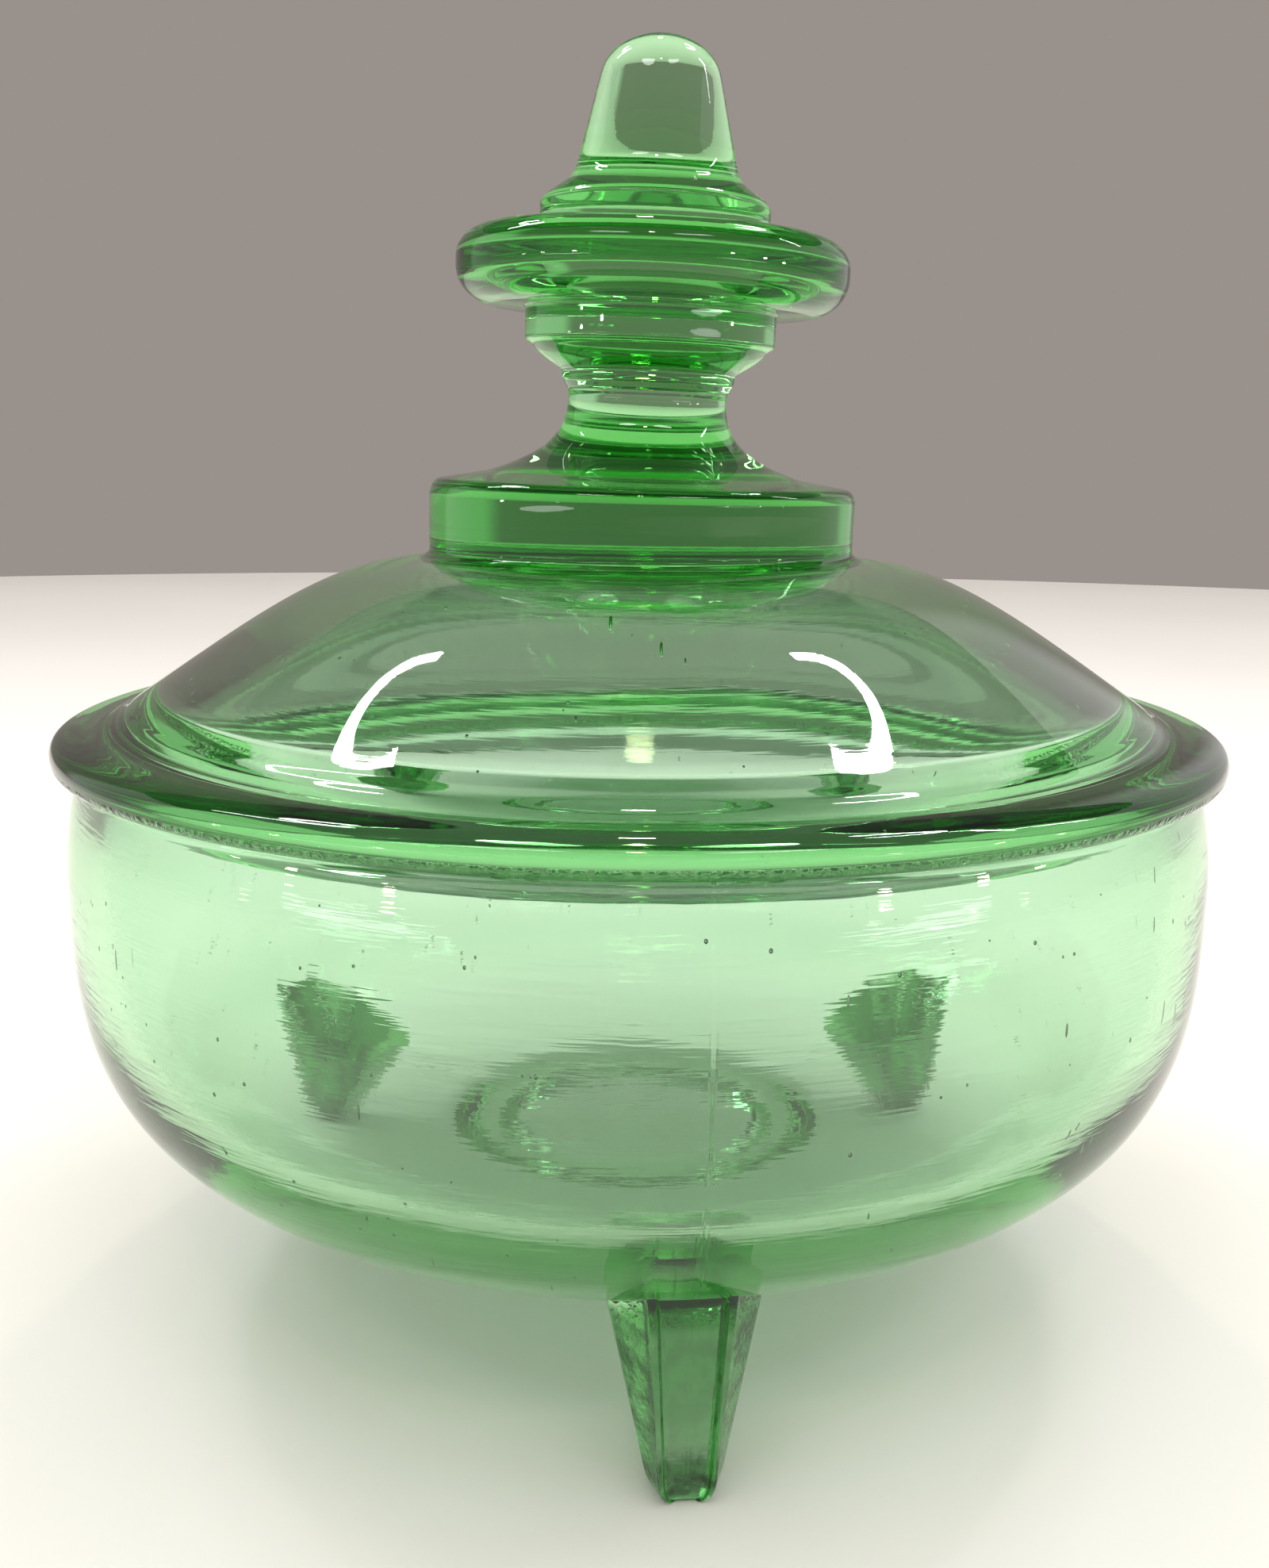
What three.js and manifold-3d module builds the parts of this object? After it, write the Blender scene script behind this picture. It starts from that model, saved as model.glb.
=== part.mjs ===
// A covered candy dish in pressed green glass: a deep round bowl on three fluted feet,
// and a domed lid with a solid stepped knob. Millimetres, +Z up. The origin is on the table
// plane, under the middle of the dish, and one foot points along -Y.

import * as THREE from 'three';
import { mergeVertices } from 'three/addons/utils/BufferGeometryUtils.js';
import Module from 'manifold-3d';

// Driving dimensions
const BRIM_RADIUS = 70;            // widest part of the lid, and of the whole dish
const TOTAL_HEIGHT = 150.7;        // table to the tip of the finial
const BOWL_RADIUS = 69;            // outside of the bowl where it is widest
const BELLY_HEIGHT = 55;           // height of that widest place above the table
const RIM_HEIGHT = 68;             // top of the bowl's rim
const SEAT_GAP = 0.3;              // clearance between the rim and the lid resting on it

const WALL = 4;                    // glass thickness of the bowl's side and floor
const CORNER_EXTRA = 1.8;          // how much thicker the glass is where the floor turns up
const CORNER_RADIUS = 58;          // where that is, from the dish's axis
const CORNER_SPREAD = 9;           // and how far it spreads
const UNDERSIDE_HEIGHT = 14.9;     // underside of the bowl's floor above the table
const BASE_RING_DEPTH = 3.5;       // how far the pressed ring hangs below the floor
const BELLY_EXPONENT = 3.2;        // squareness of the bowl's lower curve
const SHOULDER_SPAN = 56;          // vertical half-axis of the ellipse that draws the wall in to the rim
const RIM_ROUNDING = 1.1;

const FOOT_COUNT = 3;
const FOOT_TIP_RADIUS = 53.6;      // from the dish's axis to the middle of a foot's resting face
const FOOT_TOP_HEIGHT = 25.2;      // height of the small shelf where a foot leaves the bowl
const FOOT_ROUNDING = 3.2;         // a foot's tip rounds under below this height
const REST_SHARE = 0.42;           // size of the resting face against the section above the rounding

const LID_EDGE_THICKNESS = 3;      // the dome's glass near the brim
const LID_MIDDLE_THICKNESS = 5;    // what it swells towards half-way up
const LID_TOP_THICKNESS = 3.8;     // and its thickness near the knob
const BRIM_UNDERSIDE = RIM_HEIGHT + SEAT_GAP;
const RING_OUTER_RADIUS = 61.9;    // ring below the brim that keeps the lid centred in the bowl
const RING_INNER_RADIUS = 58.6;
const RING_DEPTH = 4;
const CEILING_STEP = 1;            // depth of the round recess in the ceiling under the knob
const DISC_HEIGHT = 125;           // mid-height of the knob's thick disc
const CAP_HEIGHT = 5.2;            // the rounded tip of the finial

const SEGMENTS = 48;               // facets round every turned surface

const wasm = await Module();
wasm.setup();

// ---- outlines, as points (radius, height) ----

const at = (radius, height) => new THREE.Vector2(radius, height);

function ellipseArc(centre, radii, fromDegrees, toDegrees, steps) {
  const start = THREE.MathUtils.degToRad(fromDegrees);
  const end = THREE.MathUtils.degToRad(toDegrees);
  const clockwise = toDegrees < fromDegrees;
  const curve = new THREE.EllipseCurve(centre.x, centre.y, radii[0], radii[1], start, end, clockwise);
  return curve.getPoints(steps);
}

function sweep(start, control1, control2, end, steps) {
  return new THREE.CubicBezierCurve(start, control1, control2, end).getPoints(steps);
}

// The bowl's lower curve is a superellipse about the belly. Angle 0 is level, 90 straight down.
function bellyPoint(radius, depth, degrees) {
  const angle = THREE.MathUtils.degToRad(degrees);
  const across = Math.abs(Math.cos(angle) / radius) ** BELLY_EXPONENT;
  const down = Math.abs(Math.sin(angle) / depth) ** BELLY_EXPONENT;
  const reach = (across + down) ** (-1 / BELLY_EXPONENT);
  return at(reach * Math.cos(angle), BELLY_HEIGHT - reach * Math.sin(angle));
}

function bellyCurve(radius, depth, fromDegrees, toDegrees, steps) {
  const points = [];
  for (let i = 0; i <= steps; i += 1) {
    const degrees = THREE.MathUtils.lerp(fromDegrees, toDegrees, i / steps);
    points.push(bellyPoint(radius, depth, degrees));
  }
  return points;
}

// Above the belly the wall draws in a little, along an ellipse.
function shoulderRadius(radius, height) {
  return radius * Math.sqrt(1 - ((height - BELLY_HEIGHT) / SHOULDER_SPAN) ** 2);
}

function shoulderCurve(radius, steps) {
  const top = RIM_HEIGHT - RIM_ROUNDING;
  const points = [];
  for (let i = 1; i <= steps; i += 1) {
    const height = THREE.MathUtils.lerp(BELLY_HEIGHT, top, i / steps);
    points.push(at(shoulderRadius(radius, height), height));
  }
  return points;
}

// Neighbouring points that fall on the same spot are kept once.
function tidy(points) {
  return points.filter((point, i) => i === 0 || point.distanceTo(points[i - 1]) > 0.01);
}

// ---- solids ----

// Turns an outline round the Z axis.
function turned(points, segments = SEGMENTS) {
  const geometry = new THREE.LatheGeometry(tidy(points), segments);
  geometry.rotateX(Math.PI / 2);
  return geometry;
}

function toSolid(geometry) {
  const bare = geometry.clone();
  bare.deleteAttribute('normal');
  bare.deleteAttribute('uv');
  const merged = mergeVertices(bare, 1e-4);
  const corners = Array.from(merged.index.array);
  const triangles = [];
  for (let i = 0; i < corners.length; i += 3) {
    const [a, b, c] = corners.slice(i, i + 3);
    if (a !== b && b !== c && c !== a) {
      triangles.push(a, b, c);
    }
  }
  return new wasm.Manifold(new wasm.Mesh({
    numProp: 3,
    vertProperties: new Float32Array(merged.attributes.position.array),
    triVerts: new Uint32Array(triangles),
  }));
}

function toGeometry(solid) {
  const mesh = solid.getMesh();
  const geometry = new THREE.BufferGeometry();
  geometry.setAttribute('position', new THREE.BufferAttribute(mesh.vertProperties, 3));
  geometry.setIndex(new THREE.BufferAttribute(mesh.triVerts, 1));
  geometry.computeVertexNormals();
  return geometry;
}

function glass(name, geometry) {
  const material = new THREE.MeshStandardMaterial({
    color: 0x6fc487,
    roughness: 0.05,
    metalness: 0,
    transparent: true,
    opacity: 0.6,
  });
  const mesh = new THREE.Mesh(geometry, material);
  mesh.name = name;
  return mesh;
}

// An outline moved in by a thickness, at right angles to itself. The glass is on its left.
function inset(points, thicknessAt) {
  return points.map((point, i) => {
    const before = points[Math.max(i - 1, 0)];
    const after = points[Math.min(i + 1, points.length - 1)];
    const run = after.clone().sub(before).normalize();
    return at(-run.y, run.x).multiplyScalar(thicknessAt(point, i)).add(point);
  });
}

// ---- bowl ----

function bowlOutside(startDegrees, steps) {
  const depth = BELLY_HEIGHT - UNDERSIDE_HEIGHT + 0.4;
  return [...bellyCurve(BOWL_RADIUS, depth, startDegrees, 0, steps), ...shoulderCurve(BOWL_RADIUS, 3)];
}

function bowlInside() {
  const thicknessAt = (point) => {
    const offCorner = (point.x - CORNER_RADIUS) / CORNER_SPREAD;
    return WALL + CORNER_EXTRA * Math.exp(-(offCorner ** 2));
  };
  const lining = inset(bowlOutside(90, 13), thicknessAt);
  lining[0].x = 0;
  return lining;
}

function baseRing(outsideStart) {
  const ringFoot = UNDERSIDE_HEIGHT - BASE_RING_DEPTH;
  const innerStart = at(15.4, UNDERSIDE_HEIGHT);
  const outerControl = at(22.6, UNDERSIDE_HEIGHT);
  return [
    at(0, UNDERSIDE_HEIGHT),
    ...sweep(innerStart, at(17, UNDERSIDE_HEIGHT), at(17.2, ringFoot), at(18.8, ringFoot), 5),
    ...sweep(at(20.6, ringFoot), at(22.6, ringFoot), outerControl, outsideStart, 5),
  ];
}

function bowlOutline() {
  const outside = bowlOutside(57, 12);
  const inside = bowlInside();
  const rimStart = outside.at(-1);
  const rimEnd = inside.at(-1);
  const rounding = [RIM_ROUNDING, RIM_ROUNDING];
  const outerEdge = ellipseArc(at(rimStart.x - RIM_ROUNDING, rimStart.y), rounding, 0, 90, 2);
  const innerEdge = ellipseArc(at(rimEnd.x + RIM_ROUNDING, rimStart.y), rounding, 90, 180, 2);
  return [...baseRing(outside[0]), ...outside, ...outerEdge, ...innerEdge, ...inside.reverse()];
}

// A foot in its own frame: x runs across the foot, y outward from the dish's axis, z up. The front
// is a flat facet between two thin ribs, with a facet falling back on each side to a broad back
// that runs in under the bowl. Each list is the half with x above 0.
const FOOT_TOP = [[3.3, 57.5], [3.5, 58.4], [4.5, 58.3], [4.9, 57.2], [8.6, 52.5], [9.3, 41], [7.6, 35]];
const FOOT_TIP = [[2.1, 56.2], [2.2, 56.9], [2.7, 56.8], [2.9, 56], [3.4, 54.4], [3.4, 51.8], [2.5, 51]];
const FOOT_LEVELS = [0, 0.5, 1.6, FOOT_ROUNDING, FOOT_TOP_HEIGHT];

// The foot's section at a height: drawn between the tip's and the top's, and drawn in towards the
// resting face where the tip rounds under.
function footSection(height) {
  const drop = Math.max(0, 1 - height / FOOT_ROUNDING);
  const size = REST_SHARE + (1 - REST_SHARE) * Math.sqrt(1 - drop ** 2);
  const half = FOOT_TOP.map(([x, y], i) => {
    const share = height / FOOT_TOP_HEIGHT;
    const across = THREE.MathUtils.lerp(FOOT_TIP[i][0], x, share);
    const outward = THREE.MathUtils.lerp(FOOT_TIP[i][1], y, share);
    return [across * size, FOOT_TIP_RADIUS + (outward - FOOT_TIP_RADIUS) * size];
  });
  const mirrored = half.map(([x, y]) => [-x, y]).reverse();
  return [...half, ...mirrored];
}

// The sections joined level by level, and closed by a flat face at the bottom and at the top.
function footGeometry() {
  const sections = FOOT_LEVELS.map(footSection);
  const count = sections[0].length;
  const vertices = sections.flatMap((section, level) => (
    section.flatMap(([x, y]) => [x, y, FOOT_LEVELS[level]])
  ));
  const triangles = [];
  for (let level = 0; level + 1 < sections.length; level += 1) {
    for (let i = 0; i < count; i += 1) {
      const low = level * count + i;
      const lowNext = level * count + ((i + 1) % count);
      triangles.push(low, low + count, lowNext, lowNext, low + count, lowNext + count);
    }
  }
  const capOf = (section) => THREE.ShapeUtils.triangulateShape(section.map(([x, y]) => at(x, y)), []);
  const topStart = (sections.length - 1) * count;
  capOf(sections[0]).forEach(([a, b, c]) => triangles.push(a, c, b));
  capOf(sections.at(-1)).forEach(([a, b, c]) => triangles.push(topStart + a, topStart + b, topStart + c));
  const geometry = new THREE.BufferGeometry();
  geometry.setAttribute('position', new THREE.Float32BufferAttribute(vertices, 3));
  geometry.setIndex(triangles);
  return geometry;
}

function bowl() {
  const inside = bowlInside();
  const hollow = [...inside, at(inside.at(-1).x, RIM_HEIGHT + 5), at(0, RIM_HEIGHT + 5)];
  const hollowSolid = toSolid(turned(hollow));
  let solid = toSolid(turned(bowlOutline()));
  for (let i = 0; i < FOOT_COUNT; i += 1) {
    const foot = footGeometry();
    foot.rotateZ(Math.PI + (i * 2 * Math.PI) / FOOT_COUNT);
    solid = solid.add(toSolid(foot).subtract(hollowSolid));
  }
  return glass('bowl', toGeometry(solid));
}

// ---- lid ----

const dome = sweep(at(61.2, 74.4), at(46.2, 84.6), at(38, 90.6), at(26.9, 91.2), 8);

// The hollow side of the dome, from under the knob out to the ring.
function domeLining() {
  const rising = dome.filter((point) => point.x < 58.5);
  const last = rising.length - 1;
  const thicknessAt = (point, i) => {
    const rise = THREE.MathUtils.lerp(LID_EDGE_THICKNESS, LID_MIDDLE_THICKNESS, i / last);
    const fall = THREE.MathUtils.lerp(LID_MIDDLE_THICKNESS, LID_TOP_THICKNESS, i / last);
    return THREE.MathUtils.lerp(rise, fall, i / last);
  };
  return inset(rising, thicknessAt).reverse();
}

function lidUnderside() {
  const ringFoot = BRIM_UNDERSIDE - RING_DEPTH;
  const bevel = 0.8;
  const lining = domeLining();
  const ceiling = lining[0].y;
  return [
    at(0, ceiling + CEILING_STEP),
    at(16.8, ceiling + CEILING_STEP),
    at(17.6, ceiling),
    ...lining,
    at(RING_INNER_RADIUS, ringFoot + bevel),
    at(RING_INNER_RADIUS + bevel, ringFoot),
    at(RING_OUTER_RADIUS - bevel, ringFoot),
    at(RING_OUTER_RADIUS, ringFoot + bevel),
    at(RING_OUTER_RADIUS + 0.4, BRIM_UNDERSIDE),
  ];
}

function brimAndDome() {
  const nose = at(68.3, BRIM_UNDERSIDE + 1.1);
  const noseLow = ellipseArc(nose, [BRIM_RADIUS - nose.x, 1.1], -90, 0, 3);
  const noseHigh = sweep(at(BRIM_RADIUS, 69.9), at(BRIM_RADIUS, 71.4), at(69.2, 72), at(66.8, 72.5), 4);
  const ogee = sweep(at(66, 72.6), at(63.6, 72.7), at(62.4, 73.2), dome[0], 4);
  return [...noseLow, ...noseHigh, ...ogee, ...dome];
}

function flangeAndNeck() {
  return [
    at(26, 91.8),
    at(26, 98.6),
    ...ellipseArc(at(24.4, 98.6), [1.5, 1.6], 0, 90, 3),
    ...sweep(at(19, 101.1), at(12.8, 103.1), at(9.6, 105.2), at(9.6, 110), 6),
    at(9.7, 111),
    at(10.3, 111.8),
    at(10.5, 113),
    ...sweep(at(10.8, 113.3), at(12.4, 114.2), at(13.6, 115), at(14.3, 116), 2),
    at(15.05, 116.4),
    at(15.05, 120.1),
  ];
}

function discAndFinial() {
  const ringTop = DISC_HEIGHT + 7;
  return [
    ...ellipseArc(at(18.6, DISC_HEIGHT - 0.6), [4.75, 4.3], -90, 0, 5),
    ...ellipseArc(at(19.3, DISC_HEIGHT + 0.4), [4.05, 3.4], 0, 90, 5),
    at(13.65, DISC_HEIGHT + 4.1),
    at(13.65, ringTop),
    at(13.2, ringTop + 0.6),
    ...sweep(at(11.3, 133.9), at(10.1, 134.7), at(9.7, 135.5), at(9.4, 136.5), 3),
    ...ellipseArc(at(0, TOTAL_HEIGHT - CAP_HEIGHT), [7.1, CAP_HEIGHT], 10, 90, 5),
  ];
}

function lid() {
  const outline = [...lidUnderside(), ...brimAndDome(), ...flangeAndNeck(), ...discAndFinial()];
  outline.at(-1).x = 0;
  return glass('lid', toGeometry(toSolid(turned(outline))));
}

const dish = new THREE.Group();
dish.add(bowl());
dish.add(lid());

export default dish;
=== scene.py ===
"""Looks for a covered candy dish in pressed green glass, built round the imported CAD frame.

The bowl (with its three feet) and the lid (with its knob) are each one piece of glass. Both are
rebuilt here as fine meshes, in millimetres until the last step, and stand for the faceted CAD
solids. Each gets the marks of its making: rings left by the turned mould, a mould seam, a rough
parting line, slow waves and small bubbles in the glass.
"""

import math
import random

import bmesh
import bpy
import numpy as np
from mathutils import Matrix, Vector, noise

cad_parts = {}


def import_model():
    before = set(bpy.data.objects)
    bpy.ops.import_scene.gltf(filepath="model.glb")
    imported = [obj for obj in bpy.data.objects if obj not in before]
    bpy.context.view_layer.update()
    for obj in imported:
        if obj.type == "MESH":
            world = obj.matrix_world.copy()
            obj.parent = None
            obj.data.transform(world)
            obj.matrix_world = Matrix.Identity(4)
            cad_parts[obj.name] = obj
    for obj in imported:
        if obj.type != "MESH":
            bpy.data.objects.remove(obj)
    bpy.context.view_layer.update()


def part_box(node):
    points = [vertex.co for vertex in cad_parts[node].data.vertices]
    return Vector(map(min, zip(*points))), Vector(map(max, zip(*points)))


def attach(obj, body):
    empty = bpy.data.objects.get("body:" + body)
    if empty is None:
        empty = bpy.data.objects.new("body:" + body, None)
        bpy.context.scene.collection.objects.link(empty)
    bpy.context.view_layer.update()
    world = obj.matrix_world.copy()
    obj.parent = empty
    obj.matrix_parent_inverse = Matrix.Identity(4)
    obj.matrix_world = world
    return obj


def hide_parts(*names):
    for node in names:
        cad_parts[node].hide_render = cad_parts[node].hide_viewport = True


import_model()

MM = 0.001

# ---- sizes, in millimetres, taken from the frame where it has them ----

bowl_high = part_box("bowl")[1] / MM
lid_low, lid_high = (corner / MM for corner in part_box("lid"))

BOWL_RADIUS = bowl_high.x
RIM_HEIGHT = bowl_high.z
BRIM_RADIUS = lid_high.x
TOTAL_HEIGHT = lid_high.z
RING_FOOT = lid_low.z              # lowest edge of the ring under the lid's brim
SEAT_GAP = 0.3                     # between the rim and the lid resting on it

BELLY_HEIGHT = 55                  # where the bowl is widest
WALL = 4                           # glass thickness of the bowl's side and floor
UNDERSIDE_HEIGHT = 14.9            # underside of the bowl's floor above the table
BASE_RING_DEPTH = 3.5              # how far the pressed ring hangs below the floor
CORNER_EXTRA = 1.8                 # how much thicker the glass is where the floor turns up
CORNER_RADIUS = 58                 # where that is, from the dish's axis
CORNER_SPREAD = 9                  # and how far it spreads
BELLY_EXPONENT = 3.2               # squareness of the bowl's lower curve
SHOULDER_SPAN = 56                 # vertical half-axis of the ellipse that draws the wall in
RIM_ROUNDING = 1.1

FOOT_COUNT = 3
FOOT_TIP_RADIUS = 53.6             # from the dish's axis to the middle of a foot's resting face
FOOT_TOP_HEIGHT = 25.2             # height of the small shelf where a foot leaves the bowl
FOOT_ROUNDING = 3.2                # the foot's tip rounds under below this height
REST_SHARE = 0.42                  # size of the resting face against the section above that

LID_EDGE_THICKNESS = 3.0           # the dome's glass near the brim
LID_MIDDLE_THICKNESS = 5.0         # what it swells towards half-way up
LID_TOP_THICKNESS = 3.8            # and its thickness near the knob
CEILING_STEP = 1                   # depth of the round recess in the ceiling under the knob
RING_OUTER_RADIUS = 61.9           # ring below the brim that keeps the lid centred in the bowl
RING_INNER_RADIUS = 58.6
DISC_HEIGHT = 125                  # mid-height of the knob's thick disc
CAP_HEIGHT = 5.2                   # the rounded tip of the finial

# The knob was set a little askew while the glass was soft. It bends between the two heights.
LEAN_RIGHT = math.radians(1.7)
LEAN_FRONT = math.radians(1.6)
LEAN_START, LEAN_FULL = 91, 106

SEGMENTS = 256                     # facets round every turned surface
EDGE_SOFTNESS = 0.22               # how far the fire-polish rounds each edge


# ---- outlines, as rows of (radius, height) ----

def points(*pairs):
    return np.array(pairs, float)


def ellipse_arc(centre, radii, start, end, steps=14):
    angle = np.radians(np.linspace(start, end, steps + 1))
    radius = centre[0] + radii[0] * np.cos(angle)
    height = centre[1] + radii[1] * np.sin(angle)
    return np.column_stack((radius, height))


def sweep(start, control1, control2, end, steps=40):
    """A cubic Bezier curve."""
    t = np.linspace(0, 1, steps + 1)[:, None]
    a, b, c, d = (np.array(p, float) for p in (start, control1, control2, end))
    return (1 - t) ** 3 * a + 3 * (1 - t) ** 2 * t * b + 3 * (1 - t) * t ** 2 * c + t ** 3 * d


def belly_curve(radius, depth, start, end, steps=90):
    """The bowl's lower curve: a superellipse about the belly. Angle 0 is level, 90 straight down."""
    angle = np.radians(np.linspace(start, end, steps + 1))
    across = np.abs(np.cos(angle) / radius) ** BELLY_EXPONENT
    down = np.abs(np.sin(angle) / depth) ** BELLY_EXPONENT
    reach = (across + down) ** (-1 / BELLY_EXPONENT)
    return np.column_stack((reach * np.cos(angle), BELLY_HEIGHT - reach * np.sin(angle)))


def shoulder_curve(radius, steps=12):
    """Above the belly the wall draws in a little, along an ellipse."""
    height = np.linspace(BELLY_HEIGHT, RIM_HEIGHT - RIM_ROUNDING, steps + 1)[1:]
    reach = radius * np.sqrt(1 - ((height - BELLY_HEIGHT) / SHOULDER_SPAN) ** 2)
    return np.column_stack((reach, height))


def inset(curve, thickness):
    """The curve moved in by thickness, at right angles to itself. Solid glass is on its left."""
    run = np.gradient(curve, axis=0)
    run /= np.hypot(*run.T)[:, None]
    return curve + np.column_stack((-run[:, 1], run[:, 0])) * np.reshape(thickness, (-1, 1))


def bowl_outside(start):
    depth = BELLY_HEIGHT - UNDERSIDE_HEIGHT + 0.4
    return np.vstack((belly_curve(BOWL_RADIUS, depth, start, 0), shoulder_curve(BOWL_RADIUS)))


def bowl_inside(extra=0.0):
    outside = bowl_outside(90)
    off_corner = (outside[:, 0] - CORNER_RADIUS) / CORNER_SPREAD
    thickness = WALL + CORNER_EXTRA * np.exp(-off_corner ** 2)
    return inset(outside, thickness - extra)


def base_ring(outside_start):
    """The floor's underside, with the pressed ring below it, out to where the bowl turns up."""
    ring_foot = UNDERSIDE_HEIGHT - BASE_RING_DEPTH
    level = UNDERSIDE_HEIGHT
    return np.vstack((
        points((0, level)),
        sweep((15.4, level), (17, level), (17.2, ring_foot), (18.8, ring_foot), 20),
        sweep((20.6, ring_foot), (22.6, ring_foot), (22.6, level), outside_start, 20),
    ))


def bowl_outline():
    outside = bowl_outside(57)
    inside = bowl_inside()
    inside[0, 0] = 0
    rounding = (RIM_ROUNDING, RIM_ROUNDING)
    shoulder = RIM_HEIGHT - RIM_ROUNDING
    outer_edge = ellipse_arc((outside[-1, 0] - RIM_ROUNDING, shoulder), rounding, 0, 90)
    inner_edge = ellipse_arc((inside[-1, 0] + RIM_ROUNDING, shoulder), rounding, 90, 180)
    return np.vstack((base_ring(outside[0]), outside, outer_edge, inner_edge, inside[::-1]))


def dome():
    return sweep((61.2, 74.4), (46.2, 84.6), (38, 90.6), (26.9, 91.2), 80)


def lid_inside():
    """The hollow side of the dome, from under the knob out to the ring."""
    rising = dome()
    rising = rising[rising[:, 0] < RING_INNER_RADIUS - 0.1]
    share = np.linspace(0, 1, len(rising))
    rise = (1 - share) * LID_EDGE_THICKNESS + share * LID_MIDDLE_THICKNESS
    fall = (1 - share) * LID_MIDDLE_THICKNESS + share * LID_TOP_THICKNESS
    lining = inset(rising, (1 - share) * rise + share * fall)
    return lining[::-1]


def lid_underside():
    bevel = 0.8
    lining = lid_inside()
    ceiling = lining[0, 1]
    return np.vstack((
        points((0, ceiling + CEILING_STEP), (16.8, ceiling + CEILING_STEP), (17.6, ceiling)),
        lining,
        points(
            (RING_INNER_RADIUS, RING_FOOT + bevel),
            (RING_INNER_RADIUS + bevel, RING_FOOT),
            (RING_OUTER_RADIUS - bevel, RING_FOOT),
            (RING_OUTER_RADIUS, RING_FOOT + bevel),
            (RING_OUTER_RADIUS + 0.4, RIM_HEIGHT + SEAT_GAP),
        ),
    ))


def brim_and_dome():
    nose, rounding = 68.3, 1.1
    middle = (nose, RIM_HEIGHT + SEAT_GAP + rounding)
    return np.vstack((
        ellipse_arc(middle, (BRIM_RADIUS - 0.1 - nose, rounding), -90, 0),
        sweep((BRIM_RADIUS, 69.9), (BRIM_RADIUS, 71.4), (69.2, 72.0), (66.8, 72.5)),
        sweep((66, 72.6), (63.6, 72.7), (62.4, 73.2), (61.2, 74.4)),
        dome(),
    ))


def flange_and_neck():
    return np.vstack((
        points((26, 91.8), (26, 98.6)),
        ellipse_arc((24.4, 98.6), (1.5, 1.6), 0, 90),
        sweep((19, 101.1), (12.8, 103.1), (9.6, 105.2), (9.6, 110)),
        points((9.7, 111), (10.3, 111.8), (10.5, 113)),
        sweep((10.8, 113.3), (12.4, 114.2), (13.6, 115.0), (14.3, 116), 16),
        points((15.05, 116.4), (15.05, 120.1)),
    ))


def disc_and_finial():
    disc = DISC_HEIGHT
    return np.vstack((
        ellipse_arc((18.6, disc - 0.6), (4.75, 4.3), -90, 0, 24),
        ellipse_arc((19.3, disc + 0.4), (4.05, 3.4), 0, 90, 24),
        points((13.65, disc + 4.1), (13.65, disc + 7), (13.2, disc + 7.6)),
        sweep((11.3, disc + 8.9), (10.1, disc + 9.7), (9.7, disc + 10.5), (9.4, disc + 11.5), 16),
        ellipse_arc((0, TOTAL_HEIGHT - CAP_HEIGHT), (7.1, CAP_HEIGHT), 10, 90, 30),
    ))


def lid_outline():
    outline = np.vstack((lid_underside(), brim_and_dome(), flange_and_neck(), disc_and_finial()))
    outline[-1, 0] = 0
    return outline


def lengths(outline):
    """How far along the outline each of its points lies."""
    return np.concatenate(([0], np.cumsum(np.hypot(*np.diff(outline, axis=0).T))))


def evenly(outline, spacing):
    """The outline resampled at an even spacing along its length."""
    step = np.hypot(*np.diff(outline, axis=0).T)
    keep = np.concatenate(([True], step > 1e-6))
    outline = outline[keep]
    length = lengths(outline)
    place = np.linspace(0, length[-1], int(length[-1] / spacing) + 1)
    return np.column_stack([np.interp(place, length, outline[:, k]) for k in (0, 1)])


def softened(outline, softness):
    """The outline with every edge rounded by about softness. Its ends stay on the axis."""
    spacing = softness / 3
    fine = evenly(outline, spacing)
    reach = int(4 * softness / spacing)
    mirror = np.array((-1, 1))
    padded = np.vstack((fine[reach:0:-1] * mirror, fine, fine[-2:-reach - 2:-1] * mirror))
    offset = np.arange(-reach, reach + 1) * spacing
    weight = np.exp(-offset ** 2 / (2 * softness ** 2))
    weight /= weight.sum()
    smooth = np.column_stack([np.convolve(padded[:, k], weight, "valid") for k in (0, 1)])
    smooth[[0, -1], 0] = 0
    return smooth


def thinned(outline, turn=math.radians(2.4), longest=1.5):
    """Fewer points: a new one only after the outline has turned or run far enough."""
    heading = np.unwrap(np.arctan2(*np.diff(outline, axis=0).T[::-1]))
    kept = [0]
    turned_by = run = 0.0
    for i in range(1, len(outline) - 1):
        turned_by += abs(heading[i] - heading[i - 1])
        run += math.dist(outline[i], outline[i - 1])
        if turned_by > turn or run > longest:
            kept.append(i)
            turned_by = run = 0.0
    return outline[kept + [len(outline) - 1]]


# ---- meshes ----

def mesh_object(name, vertices, faces):
    mesh = bpy.data.meshes.new(name)
    mesh.from_pydata([tuple(v) for v in vertices], [], faces)
    mesh.validate()
    mesh.update()
    piece = bpy.data.objects.new(name, mesh)
    bpy.context.scene.collection.objects.link(piece)
    return piece


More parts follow.
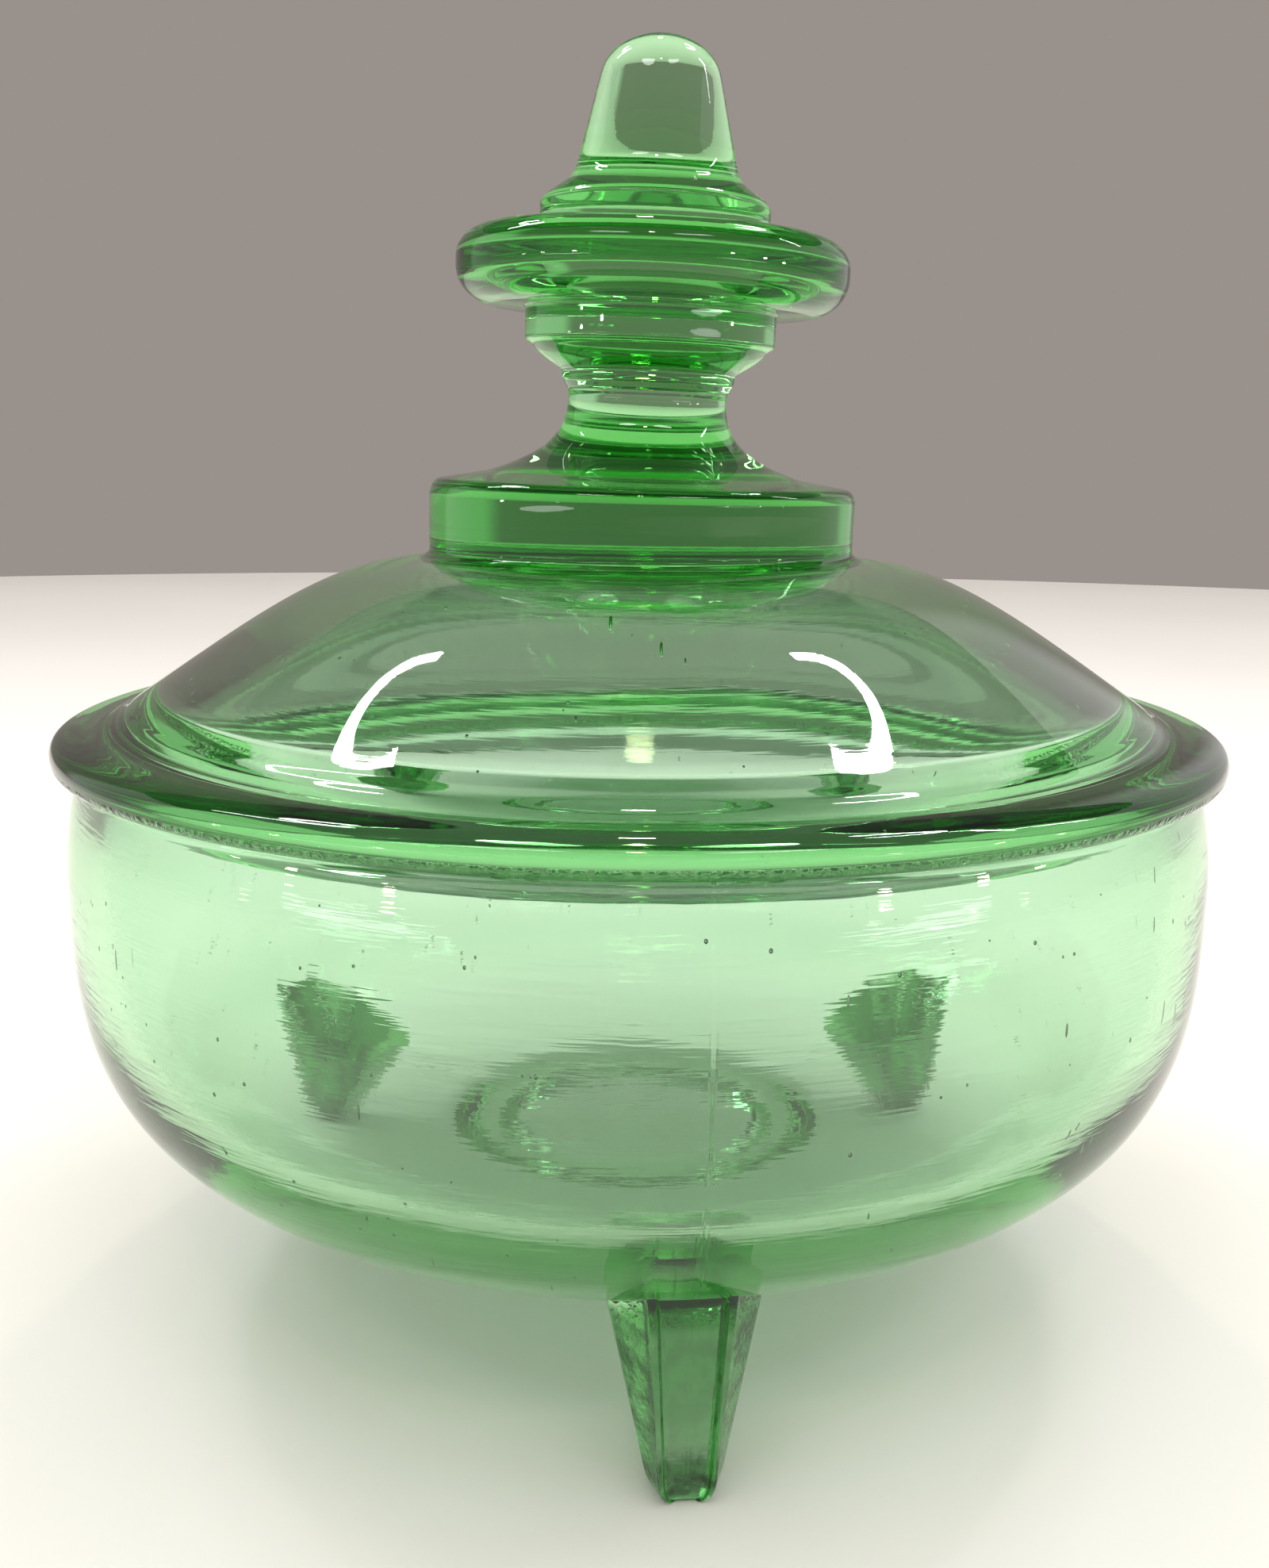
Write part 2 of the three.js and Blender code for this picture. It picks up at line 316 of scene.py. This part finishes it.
def turned(name, outline):
    """A closed body turned from an outline whose two ends are on the axis."""
    rings = outline[1:-1]
    angle = np.linspace(0, 2 * math.pi, SEGMENTS, endpoint=False)
    across = rings[:, 0, None] * np.cos(angle)
    along = rings[:, 0, None] * np.sin(angle)
    up = np.repeat(rings[:, 1, None], SEGMENTS, axis=1)
    vertices = np.column_stack((across.ravel(), along.ravel(), up.ravel()))
    vertices = np.vstack((vertices, (0, 0, outline[0, 1]), (0, 0, outline[-1, 1])))
    first, last = len(vertices) - 2, len(vertices) - 1
    top = (len(rings) - 1) * SEGMENTS
    faces = []
    for j in range(SEGMENTS):
        k = (j + 1) % SEGMENTS
        faces.append((first, k, j))
        faces.append((last, top + j, top + k))
        for i in range(0, top, SEGMENTS):
            faces.append((i + j, i + k, i + SEGMENTS + k, i + SEGMENTS + j))
    return mesh_object(name, vertices, faces)


def mirrored(half):
    """A closed outline, symmetric across x, from the half with x above 0."""
    whole = half + [(-x, y) for x, y in reversed(half)]
    return np.array(whole + [whole[0]], float)


# A foot seen from above: x across it, y out from the dish's axis. The front is a flat facet between
# two thin ribs, with a facet falling back on each side to a broad back that runs in under the bowl.
FOOT_TOP = mirrored([
    (3.3, 57.5), (3.5, 58.4), (4.5, 58.3), (4.9, 57.2), (8.6, 52.5), (9.3, 41), (7.6, 35),
])
FOOT_TIP = mirrored([
    (2.1, 56.2), (2.2, 56.9), (2.7, 56.8), (2.9, 56.0), (3.4, 54.4), (3.4, 51.8), (2.5, 51),
])
POINTS_PER_SIDE = 9


def foot_places(top, tip, height):
    """The foot's section at a height, from its sections at the top and at the tip."""
    share = height / FOOT_TOP_HEIGHT
    section = top * share + tip * (1 - share)
    if height < FOOT_ROUNDING:
        drop = 1 - height / FOOT_ROUNDING
        middle = (0, FOOT_TIP_RADIUS)
        size = REST_SHARE + (1 - REST_SHARE) * math.sqrt(1 - drop ** 2)
        section = middle + (section - middle) * size
    return np.column_stack((section, np.full(len(section), height)))


def closed_softened(outline, softness):
    """A closed outline with its corners rounded, and the same number of points on each side."""
    share = np.linspace(0, 1, POINTS_PER_SIDE, endpoint=False)[:, None]
    spread = 0.5 - 0.5 * np.cos(math.pi * share)
    sides = [a + (b - a) * spread for a, b in zip(outline[:-1], outline[1:])]
    rough = np.vstack(sides)
    finer = 4
    fine = evenly(np.vstack((rough, rough[:1])), softness / finer)[:-1]
    reach = 4 * finer
    weight = np.exp(-(np.arange(-reach, reach + 1) / finer) ** 2 / 2)
    weight /= weight.sum()
    padded = np.vstack((fine[-reach:], fine, fine[:reach]))
    smooth = np.column_stack([np.convolve(padded[:, k], weight, "valid") for k in (0, 1)])
    nearest = [np.argmin(np.hypot(*(fine - place).T)) for place in rough]
    return smooth[nearest]


def foot(index):
    """A foot drawn through its sections, level by level. Foot 0 is the front one."""
    top = closed_softened(FOOT_TOP, 0.2)
    tip = closed_softened(FOOT_TIP, 0.14)
    around = len(top)
    rounding = FOOT_ROUNDING * (1 - np.cos(np.linspace(0, math.pi / 2, 14)))
    heights = np.concatenate((rounding, np.linspace(FOOT_ROUNDING, FOOT_TOP_HEIGHT, 24)[1:]))
    turn = Matrix.Rotation(math.pi + index * 2 * math.pi / FOOT_COUNT, 3, "Z")
    vertices = []
    for height in heights:
        vertices.extend(turn @ Vector(place) for place in foot_places(top, tip, height))
    last = (len(heights) - 1) * around
    faces = [tuple(range(around)), tuple(reversed(range(last, len(vertices))))]
    for i in range(0, last, around):
        for j in range(around):
            k = (j + 1) % around
            faces.append((i + j, i + around + j, i + around + k, i + k))
    return mesh_object(f"foot_{index}", vertices, faces)


def combine(target, tool, operation):
    """Changes target's mesh by a boolean with tool, which is used up."""
    modifier = target.modifiers.new("combine", "BOOLEAN")
    modifier.operation = operation
    modifier.solver = "EXACT"
    modifier.object = tool
    depsgraph = bpy.context.evaluated_depsgraph_get()
    mesh = bpy.data.meshes.new_from_object(target.evaluated_get(depsgraph))
    target.modifiers.clear()
    target.data = mesh
    bpy.data.objects.remove(tool)


def coordinates(piece):
    flat = np.empty(len(piece.data.vertices) * 3)
    piece.data.vertices.foreach_get("co", flat)
    return flat.reshape(-1, 3)


def set_coordinates(piece, places):
    piece.data.vertices.foreach_set("co", places.ravel())
    piece.data.update()


def add_attribute(piece, name, values):
    layer = piece.data.attributes.new(name, "FLOAT", "POINT")
    layer.data.foreach_set("value", np.asarray(values, np.float32))


def length_along(places, outline):
    """How far along the outline each vertex's nearest outline point is, and how far off it lies."""
    length = lengths(outline)
    flat = np.column_stack((np.hypot(places[:, 0], places[:, 1]), places[:, 2]))
    best = np.full(len(flat), 1e9)
    along = np.zeros(len(flat))
    for i in range(len(outline) - 1):
        a, d = outline[i], outline[i + 1] - outline[i]
        t = np.clip((flat - a) @ d / max(d @ d, 1e-12), 0, 1)
        off = np.hypot(*(flat - a - t[:, None] * d).T)
        closer = off < best
        best[closer] = off[closer]
        along[closer] = (length[i] + t * math.hypot(*d))[closer]
    return along, best


def waves(places, size, depth, seed):
    """Slow waves in the surface, from 0 down to -depth."""
    shift = Vector((seed * 17.3, seed * 5.1, seed * 9.7))
    return np.array([-depth * (0.5 + 0.5 * noise.noise(Vector(p) / size + shift)) for p in places])


def smooth_shade(piece):
    """Smooth, but for edges that turn by more than 40 degrees."""
    piece.data.shade_smooth()
    piece.data.set_sharp_from_angle(angle=math.radians(40))


# ---- bowl and lid ----

def wavy(piece, keep_out, size, depth, seed):
    """Pulls each vertex in along its normal by a slow wave, except where keep_out says."""
    places = coordinates(piece)
    normals = np.array([v.normal for v in piece.data.vertices])
    pull = waves(places, size, depth, seed)
    pull[keep_out(places)] = 0
    set_coordinates(piece, places + normals * pull[:, None])


def build_bowl():
    outline = softened(bowl_outline(), EDGE_SOFTNESS)
    piece = turned("bowl_glass", thinned(outline))
    wavy(piece, lambda p: p[:, 2] > RIM_HEIGHT - 2, size=17, depth=0.10, seed=1)
    overlap = 1.5                  # how far a foot runs into the wall before it is cut off
    inside = bowl_inside(overlap)[::3]
    inside[0, 0] = 0
    hollow_top = points((BOWL_RADIUS - WALL, RIM_HEIGHT + 5), (0, RIM_HEIGHT + 5))
    for i in range(FOOT_COUNT):
        leg = foot(i)
        combine(leg, turned("hollow", np.vstack((inside, hollow_top))), "DIFFERENCE")
        combine(piece, leg, "UNION")
    return piece, outline


def lean_knob(places):
    """The places with the knob's lean put in: a bend that grows smoothly from LEAN_START up."""
    leant = places.copy()
    rise = places[:, 2] - LEAN_START
    share = np.clip(rise / (LEAN_FULL - LEAN_START), 0, 1)
    share = share * share * (3 - 2 * share)
    for axis, angle in ((0, LEAN_RIGHT), (1, -LEAN_FRONT)):
        bend = angle * share
        leant[:, axis] += rise * np.sin(bend)
        leant[:, 2] -= places[:, axis] * np.sin(bend)
    return leant


def build_lid():
    outline = softened(lid_outline(), EDGE_SOFTNESS)
    piece = turned("lid_glass", thinned(outline))
    brim = BRIM_RADIUS - 8
    wavy(piece, lambda p: np.hypot(p[:, 0], p[:, 1]) > brim, size=20, depth=0.05, seed=2)
    return piece, outline


# ---- materials ----

class Nodes:
    """A short way to add nodes to a material and link them. An input is given by its name, with _
    for each space, or by its number, as i0, i1 and so on."""

    def __init__(self, material):
        self.tree = material.node_tree
        self.tree.nodes.clear()

    def add(self, kind, settings=None, **inputs):
        node = self.tree.nodes.new(kind)
        for key, value in (settings or {}).items():
            setattr(node, key, value)
        for key, value in inputs.items():
            socket = node.inputs[int(key[1:])] if key[0] == "i" and key[1:].isdigit() else (
                node.inputs[key.replace("_", " ")])
            self.feed(socket, value)
        return node

    def feed(self, socket, value):
        if isinstance(value, bpy.types.NodeSocket):
            self.tree.links.new(value, socket)
        else:
            socket.default_value = value

    def maths(self, operation, a, b=0.0, c=0.0):
        return self.add("ShaderNodeMath", {"operation": operation}, i0=a, i1=b, i2=c).outputs[0]

    def band(self, value, middle, width):
        """1 at middle, falling to 0 at width away."""
        off = self.maths("ABSOLUTE", self.maths("SUBTRACT", value, middle))
        return self.add("ShaderNodeMapRange", {"interpolation_type": "SMOOTHSTEP"},
                        i0=off, i1=0.0, i2=width, i3=1.0, i4=0.0).outputs[0]


def new_material(name, kind=Nodes):
    material = bpy.data.materials.new(name)
    material.use_nodes = True
    return material, kind(material)


# How strongly each colour is taken up along its way through the glass, per metre.
ABSORPTION = (53.0, 16.0, 55.0)
GLASS_IOR = 1.52


class GlassPlaces(Nodes):
    """Nodes that tell where on the dish a point is, in millimetres."""

    def __init__(self, material):
        super().__init__(material)
        self.place = self.add("ShaderNodeTexCoord").outputs["Object"]
        split = self.add("ShaderNodeSeparateXYZ", Vector=self.place)
        self.x = self.maths("MULTIPLY", split.outputs[0], 1 / MM)
        self.y = self.maths("MULTIPLY", split.outputs[1], 1 / MM)
        self.height = self.maths("MULTIPLY", split.outputs[2], 1 / MM)
        flat = self.add("ShaderNodeCombineXYZ", X=self.x, Y=self.y)
        self.radius = self.vector_maths("LENGTH", flat.outputs[0]).outputs[1]
        self.outward = self.vector_maths("NORMALIZE", flat.outputs[0]).outputs[0]
        self.along = self.add("ShaderNodeAttribute", {"attribute_name": "along"}).outputs["Fac"]
        self.turned = self.add("ShaderNodeAttribute", {"attribute_name": "turned"}).outputs["Fac"]

    def vector_maths(self, operation, vector):
        return self.add("ShaderNodeVectorMath", {"operation": operation}, i0=vector)

    def noise(self, scale, detail):
        texture = self.add("ShaderNodeTexNoise", Vector=self.place, Scale=scale, Detail=detail)
        return texture.outputs["Fac"]

    def rings(self, across, per_metre, detail):
        """Noise drawn out round the axis: across sets its length round the dish, per_metre its width."""
        around = self.add("ShaderNodeSeparateXYZ", Vector=self.outward)
        where = self.add(
            "ShaderNodeCombineXYZ",
            X=self.maths("MULTIPLY", around.outputs[0], across),
            Y=self.maths("MULTIPLY", around.outputs[1], across),
            Z=self.maths("MULTIPLY", self.along, per_metre),
        )
        texture = self.add("ShaderNodeTexNoise", Vector=where.outputs[0], Scale=1.0, Detail=detail)
        return texture.outputs["Fac"]

    def ramp(self, value, start, end, low=0.0, high=1.0):
        return self.add("ShaderNodeMapRange", {"interpolation_type": "SMOOTHSTEP"},
                        i0=value, i1=start, i2=end, i3=low, i4=high).outputs[0]

    def mix(self, share, colour_a, colour_b):
        ends = [c if isinstance(c, bpy.types.NodeSocket) else (*c, 1) for c in (colour_a, colour_b)]
        mixed = self.add("ShaderNodeMix", {"data_type": "RGBA"}, i0=share, i6=ends[0], i7=ends[1])
        return mixed.outputs[2]

    def times(self, socket, colour):
        return self.add("ShaderNodeMix", {"data_type": "RGBA", "blend_type": "MULTIPLY"},
                        i0=1.0, i6=socket, i7=(*colour, 1)).outputs[2]

    def bump(self, height, depth, normal):
        node = self.add("ShaderNodeBump", Strength=1.0, Distance=depth, Height=height)
        if normal:
            self.feed(node.inputs["Normal"], normal)
        return node.outputs[0]

    def seam(self):
        """1 on the three upright lines where the parts of the mould met, one above each foot."""
        angle = self.maths("ARCTAN2", self.x, self.maths("MULTIPLY", self.y, -1.0))
        third = self.maths("MULTIPLY", angle, FOOT_COUNT / (2 * math.pi))
        off = self.maths("ABSOLUTE", self.maths("SUBTRACT", third, self.maths("ROUND", third)))
        arc = self.maths("MULTIPLY", self.radius, 2 * math.pi / FOOT_COUNT)
        return self.band(self.maths("MULTIPLY", off, arc), 0.0, 0.22)


def foot_zones(n):
    """Which points are on a foot, and which of those are on its slanting sides."""
    below_shelf = n.ramp(n.height, 26.0, 25.0)
    is_foot = n.maths("MULTIPLY", n.maths("SUBTRACT", 1.0, n.turned), below_shelf)
    flat_normal = n.add("ShaderNodeNewGeometry").outputs["True Normal"]
    facing = n.add("ShaderNodeVectorMath", {"operation": "DOT_PRODUCT"}, i0=flat_normal, i1=n.outward)
    side = n.ramp(n.maths("ABSOLUTE", facing.outputs[1]), 0.92, 0.75)
    return is_foot, side


def brim_zone(n):
    above_rim = n.maths("GREATER_THAN", n.height, RIM_HEIGHT + 0.1)
    return n.maths("MULTIPLY", above_rim, n.maths("LESS_THAN", n.height, 75.0))


def glass_tint_and_painted_shade(n, is_foot, side, brim):
    """The glass's own faint tint, with painted shade laid over it: on the feet, on the bowl's wall where
    it is seen at a slant, and in a band on the brim.
    """
    cloud = n.noise(28.0, 3.0)
    clear = n.mix(n.ramp(cloud, 0.3, 0.7), (0.94, 0.98, 0.99), (0.91, 0.97, 0.965))
    # Painted shade on the feet, standing in for the light their glass bends and reflects inside: side
    # facets dark in streaks, the front facet darker higher up, a dark band below the shelf and a dark
    # streaked tip.
    streak = n.ramp(n.noise(420.0, 3.0), 0.35, 0.65)
    painted_shade = n.mix(streak, (0.004, 0.05, 0.004), (0.14, 0.52, 0.15))
    front = n.mix(n.ramp(n.height, 6.0, 14.0), (1.0, 1.0, 1.0), (0.8, 0.95, 0.82))
    shelf, tip = n.ramp(n.height, 19.5, 21.0), n.ramp(n.height, 4.4, 3.4)
    foot = n.mix(side, front, painted_shade)
    foot = n.mix(shelf, foot, (0.15, 0.55, 0.16))
    foot = n.mix(n.maths("MULTIPLY", tip, streak), foot, (0.01, 0.04, 0.01))
    tint = n.mix(is_foot, clear, foot)
    # Painted shade: the turned glass below the rim is darkened where it is seen at a slant, towards its
    # outline.
    slant = n.add("ShaderNodeLayerWeight", Blend=0.5).outputs["Facing"]
    bowl_wall = n.maths("MULTIPLY", n.ramp(n.height, 66.5, 66.0), n.turned)
    painted_edge_shade = n.maths("MULTIPLY", bowl_wall, n.ramp(slant, 0.45, 0.85))
    tint = n.mix(painted_edge_shade, tint, n.times(tint, (0.86, 0.92, 0.88)))
    # Painted shade: the brim's outer part is tinted deep green.
    painted_brim_shade = n.maths("MULTIPLY", brim, n.ramp(n.radius, 64.5, 66.5))
    return n.mix(painted_brim_shade, tint, n.times(tint, (0.4, 0.85, 0.4)))


def glass_relief(n, is_foot, side, groove_depth, seam_depth):
    """The marks of making, as a bumped normal. Depths are in metres."""
    fine = n.rings(11, 2600, 1.0)
    broad = n.rings(3, 420, 1.0)
    groove = n.maths("MULTIPLY", n.maths("ADD", fine, n.maths("MULTIPLY", broad, 2.5)), n.turned)
    normal = n.bump(groove, groove_depth, None)
    rough_side = n.maths("MULTIPLY", n.maths("MULTIPLY", side, is_foot), n.noise(1800.0, 2.0))
    normal = n.bump(rough_side, 1.6e-4, normal)
    parting = n.maths("MULTIPLY", n.band(n.height, 69.2, 0.45), n.ramp(n.radius, 69.2, 69.5))
    chips = n.maths("MULTIPLY", parting, n.ramp(n.noise(1500.0, 3.0), 0.4, 0.6))
    normal = n.bump(chips, 2.0e-4, normal)
    beyond_floor = n.ramp(n.along, 0.028, 0.030)
    return n.bump(n.maths("MULTIPLY", n.seam(), beyond_floor), seam_depth, normal)


def glass_material(name, groove_depth, seam_depth):
    material, n = new_material(name, GlassPlaces)
    is_foot, side = foot_zones(n)
    brim = brim_zone(n)
    underside = n.maths("MULTIPLY", n.ramp(n.height, 46.0, 34.0), n.turned)
    dulled = n.maths("MAXIMUM", underside, n.maths("MULTIPLY", side, is_foot))
    dulled = n.maths("MAXIMUM", brim, dulled)
    surface = n.add(
        "ShaderNodeBsdfPrincipled",
        Roughness=n.ramp(n.noise(28.0, 3.0), 0.3, 0.7, 0.012, 0.03),
        IOR=GLASS_IOR,
        Normal=glass_relief(n, is_foot, side, groove_depth, seam_depth),
        Specular_IOR_Level=n.maths("SUBTRACT", 0.5, n.maths("MULTIPLY", 0.4, dulled)),
    )
    n.feed(surface.inputs["Base Color"], glass_tint_and_painted_shade(n, is_foot, side, brim))
    n.feed(surface.inputs["Transmission Weight"], 1.0)
    density = max(ABSORPTION) / 0.95
    kept = [1 - a / density for a in ABSORPTION]
    volume = n.add("ShaderNodeVolumeAbsorption", Color=(*kept, 1), Density=density)
    n.add("ShaderNodeOutputMaterial", Surface=surface.outputs[0], Volume=volume.outputs[0])
    return material


def finished(piece, outline, material, body, node, placed=None):
    """Gives a piece its attributes, metres, material and body. It stands for the CAD node."""
    places = coordinates(piece)
    along, off = length_along(places, thinned(outline, math.radians(6), 4))
    add_attribute(piece, "along", along * MM)
    add_attribute(piece, "turned", off < 0.4)
    set_coordinates(piece, (placed(places) if placed else places) * MM)
    smooth_shade(piece)
    piece.data.materials.clear()
    piece.data.materials.append(material)
    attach(piece, body)
    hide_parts(node)


def seed_material(name):
    """The inside of a bubble: a surface from glass back into air."""
    material, n = new_material(name)
    surface = n.add("ShaderNodeBsdfPrincipled", Roughness=0.05, IOR=1 / GLASS_IOR)
    shade = n.add("ShaderNodeTexNoise", Scale=60.0, Detail=1.0).outputs["Fac"]
    tint = n.add("ShaderNodeMix", {"data_type": "RGBA"}, i0=shade,
                 i6=(0.25, 0.32, 0.26, 1), i7=(0.75, 0.85, 0.76, 1))
    n.feed(surface.inputs["Base Color"], tint.outputs[2])
    n.feed(surface.inputs["Transmission Weight"], 1.0)
    n.add("ShaderNodeOutputMaterial", Surface=surface.outputs[0])
    return material


def seeds(name, walls, body, count, start):
    """Small bubbles in the thickness of a turned wall, some drawn out upright by the pressing."""
    draw = random.Random(start)
    mesh = bmesh.new()
    for _ in range(count):
        radius, height = walls[draw.randrange(len(walls))]
        angle = draw.uniform(0, 2 * math.pi)
        size = draw.uniform(0.09, 0.2)
        length = size * (draw.uniform(1.0, 1.6) if draw.random() < 0.75 else draw.uniform(3, 8))
        place = Matrix.Translation((radius * math.cos(angle), radius * math.sin(angle), height))
        shape = Matrix.Diagonal((size, size, length, 1))
        matrix = Matrix.Scale(MM, 4) @ place @ shape
        bmesh.ops.create_icosphere(mesh, subdivisions=2, radius=1, matrix=matrix)
    data = bpy.data.meshes.new(name)
    mesh.to_mesh(data)
    mesh.free()
    data.shade_smooth()
    piece = bpy.data.objects.new(name, data)
    bpy.context.scene.collection.objects.link(piece)
    data.materials.append(seed_material(name))
    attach(piece, body)


bowl, bowl_line = build_bowl()
lid, lid_line = build_lid()
bowl_material = glass_material("bowl_glass", groove_depth=1.1e-5, seam_depth=3e-5)
lid_material = glass_material("lid_glass", groove_depth=1.3e-6, seam_depth=0)
finished(bowl, bowl_line, bowl_material, "bowl", "bowl")
finished(lid, lid_line, lid_material, "lid", "lid", lean_knob)

half_wall = 1.9
bowl_walls = inset(bowl_outside(56), half_wall)[2:-2]
seeds("bowl_seeds", bowl_walls[bowl_walls[:, 0] > 50], "bowl", count=260, start=3)
dome_walls = inset(dome(), half_wall)[4:-4]
seeds("lid_seeds", dome_walls, "lid", count=110, start=5)

# ---- stage: table, backdrop, lamps, camera ----

TABLE_RADIUS = 1.33
WALL_RADIUS = 1.75
WALL_HEIGHT = 1.15
CAMERA_TURN = math.radians(-5.7)   # the camera stands a little to the left of the front foot
DOME_HEIGHT = 0.085                # the lamps are aimed at the dome
WHITE, WARM, AMBER = (1, 1, 1), (1, 0.84, 0.72), (1, 0.85, 0.6)
WHOLE_RING, RIGHT_HALF = (0, 360), (-90, 90)


def table():
    bpy.ops.mesh.primitive_cylinder_add(vertices=256, radius=TABLE_RADIUS, depth=0.03,
                                        location=(0, 0, -0.015))
    top = bpy.context.object
    top.name = "table"
    material, n = new_material("table")
    place = n.add("ShaderNodeTexCoord").outputs["Object"]
    cloud = n.add("ShaderNodeTexNoise", Vector=place, Scale=6.0, Detail=4.0).outputs["Fac"]
    colour = n.add("ShaderNodeMix", {"data_type": "RGBA"}, i0=cloud,
                   i6=(0.80, 0.77, 0.74, 1), i7=(0.86, 0.84, 0.815, 1))
    # Painted light and shade: the table's colour is raised a little near the dish and darkened towards
    # the back, by its distance behind the dish.
    distance = n.add("ShaderNodeSeparateXYZ", Vector=place).outputs[1]
    painted_falloff = n.add("ShaderNodeMapRange", {"interpolation_type": "SMOOTHSTEP"},
                i0=distance, i1=0.1, i2=0.9, i3=1.04, i4=0.84).outputs[0]
    painted_shade = n.add("ShaderNodeVectorMath", {"operation": "SCALE"}, i0=colour.outputs[2])
    n.feed(painted_shade.inputs["Scale"], painted_falloff)
    surface = n.add("ShaderNodeBsdfPrincipled", Roughness=0.55)
    n.feed(surface.inputs["Base Color"], painted_shade.outputs[0])
    n.add("ShaderNodeOutputMaterial", Surface=surface.outputs[0])
    top.data.materials.append(material)


def lit_table(n, seen, lighting):
    """seen for rays that come straight from the camera or through the glass, lighting for rays that
    have left a matt surface: a dim room for the glass to show, and enough light for a white table."""
    depth = n.add("ShaderNodeLightPath").outputs["Diffuse Depth"]
    return n.add("ShaderNodeMapRange", i0=depth, i1=0.0, i2=1.0, i3=seen, i4=lighting).outputs[0]


def backdrop():
    """A round wall: grey behind the dish as the camera sees it, paler elsewhere."""
    bpy.ops.mesh.primitive_cylinder_add(vertices=128, radius=WALL_RADIUS, depth=WALL_HEIGHT + 1,
                                        end_fill_type="NOTHING", location=(0, 0, (WALL_HEIGHT - 1) / 2))
    wall = bpy.context.object
    wall.name = "backdrop"
    material, n = new_material("backdrop")
    place = n.add("ShaderNodeTexCoord").outputs["Object"]
    split = n.add("ShaderNodeSeparateXYZ", Vector=place)
    azimuth = n.maths("ARCTAN2", split.outputs[0], split.outputs[1])
    left, right = math.radians(-48), math.radians(34)
    off = n.maths("ABSOLUTE", n.maths("SUBTRACT", azimuth, (left + right) / 2))
    pale = n.add("ShaderNodeMapRange", {"interpolation_type": "SMOOTHSTEP"}, i0=off,
                 i1=(right - left) / 2 - 0.06, i2=(right - left) / 2 + 0.06)
    colour = n.add("ShaderNodeMix", {"data_type": "RGBA"}, i0=pale.outputs[0],
                   i6=(0.32, 0.283, 0.26, 1), i7=(0.78, 0.76, 0.73, 1))
    glow = n.add("ShaderNodeEmission", Color=colour.outputs[2], Strength=lit_table(n, 1.0, 0.75))
    n.add("ShaderNodeOutputMaterial", Surface=glow.outputs[0])
    material.cycles.emission_sampling = "NONE"
    wall.data.materials.append(material)


def lamp_material(name, colour, strength):
    material, n = new_material(name)
    glow = n.add("ShaderNodeEmission", Color=(*colour, 1), Strength=strength)
    n.add("ShaderNodeOutputMaterial", Surface=glow.outputs[0])
    return material


def lamp(name, direction, half_size, thickness, strength, colour=WHITE, bend=WHOLE_RING):
    """A bent tube lamp: part of a ring about a direction seen from the dish, all sizes in degrees.
    Azimuth 0 is behind the dish and positive to the right. bend is where the part starts and ends."""
    azimuth, elevation = direction
    half_width, half_height = half_size
    distance, steps = 1.3, 24
    rows = []
    for angle in np.radians(np.linspace(*bend, steps + 1)):
        for more in (-thickness / 2, thickness / 2):
            across = (half_width + more) * math.cos(angle) / math.cos(math.radians(elevation))
            a = math.radians(azimuth + across)
            e = math.radians(elevation + (half_height + more) * math.sin(angle))
            out = distance * math.cos(e)
            rows.append((out * math.sin(a), out * math.cos(a), DOME_HEIGHT + distance * math.sin(e)))
    faces = [(2 * i, 2 * i + 1, 2 * i + 3, 2 * i + 2) for i in range(steps)]
    tube = mesh_object(name, rows, faces)
    tube.data.materials.append(lamp_material(name, colour, strength))
    tube.rotation_euler.z = CAMERA_TURN
    tube.visible_camera = False


def world():
    sky = bpy.data.worlds.new("sky")
    sky.use_nodes = True
    n = Nodes(sky)
    glow = n.add("ShaderNodeBackground", Color=(1.0, 0.97, 0.94, 1), Strength=lit_table(n, 0.16, 1.45))
    n.add("ShaderNodeOutputWorld", Surface=glow.outputs[0])
    sky.cycles.sampling_method = "NONE"
    bpy.context.scene.world = sky


def camera():
    data = bpy.data.cameras.new("camera")
    data.sensor_width = 36
    data.lens = 34.597875              # fitted together with the place and the angles below
    eye = bpy.data.objects.new("camera", data)
    bpy.context.scene.collection.objects.link(eye)
    distance, height = 188.8 * MM, 101.7 * MM
    down, roll, aside = math.radians(11.79), math.radians(0.6), math.radians(-0.14)
    turn = Matrix.Rotation(CAMERA_TURN, 4, "Z")
    look = Matrix.Rotation(-aside, 4, "Z") @ Matrix.Rotation(math.pi / 2 - down, 4, "X")
    look = look @ Matrix.Rotation(roll, 4, "Z")
    eye.matrix_world = turn @ Matrix.Translation((0, -distance, height)) @ look
    bpy.context.scene.camera = eye


table()
backdrop()
world()
lamp("lamp_left", (-50.5, 55.5), (5.0, 5.8), thickness=1.5, strength=45, bend=(150, 350))
lamp("lamp_right", (48, 61), (5.2, 6.2), thickness=1.5, strength=45, bend=(190, 390))
lamp("strip_left", (-66, 50), (1, 8), thickness=2, strength=25, bend=RIGHT_HALF)
lamp("strip_right", (81, 38), (1, 8), thickness=2, strength=25, bend=RIGHT_HALF)
lamp("lamp_behind", (0, 60), (0.7, 0.7), thickness=1.4, strength=120, colour=AMBER)
lamp("lamp_front", (180, 48), (0.8, 0.8), thickness=1.6, strength=60, colour=AMBER)
for side, sign in (("left", -1), ("right", 1)):
    for number, azimuth in enumerate((103, 116, 136)):
        lamp(f"far_lamp_{side}_{number}", (sign * azimuth, 3 + number), (1.1, 0.2), thickness=0.5,
             strength=60, colour=WARM)
    lamp(f"strip_front_{side}", (sign * 152, 44), (9, 1.2), thickness=2.4, strength=9)
    lamp(f"window_{side}", (sign * 130, 0.2), (15, 0.5), thickness=1.0, strength=5)
camera()

scene = bpy.context.scene
scene.view_settings.view_transform = "Standard"
scene.cycles.max_bounces = 32
scene.cycles.transmission_bounces = 32
scene.cycles.glossy_bounces = 16
